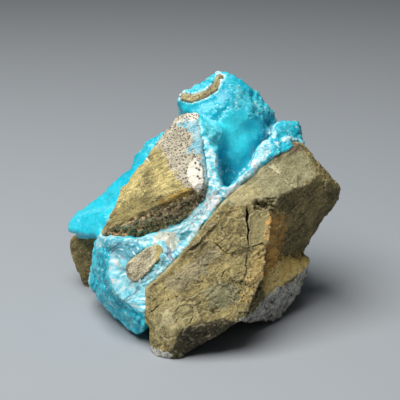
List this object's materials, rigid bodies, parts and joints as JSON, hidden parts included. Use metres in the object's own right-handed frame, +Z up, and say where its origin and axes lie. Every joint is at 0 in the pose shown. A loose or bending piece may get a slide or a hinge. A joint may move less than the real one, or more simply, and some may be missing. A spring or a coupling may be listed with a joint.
{
  "type": "hemimorphite mineral specimen",
  "caption": "Hand specimen of blue hemimorphite grown as a crust that cements broken olive-brown rock, with an open hollow near the top; stands on its own rocks.",
  "frame": {"origin": "on the resting surface, below the middle of the specimen's bounding box", "axes": "+X to the right along the specimen's longest side, +Y away from the side with the hollow's mouth, +Z up"},
  "size_m": [0.0967, 0.0859, 0.0791],
  "materials": {
    "olive_brown_rock": "matte",
    "ochre_and_cream_rock": "matte",
    "grey_brown_rock": "matte",
    "dark_olive_rock": "matte",
    "tan_rock": "matte",
    "blue_hemimorphite": "satin"
  },
  "bodies": {
    "root": {"main_rock": "olive_brown_rock", "wedge_rock": "ochre_and_cream_rock", "inclusion_rock": "grey_brown_rock", "left_rock": "dark_olive_rock", "rock_sheet": "tan_rock", "hemimorphite_crust": "blue_hemimorphite"}
  },
  "joints": []
}
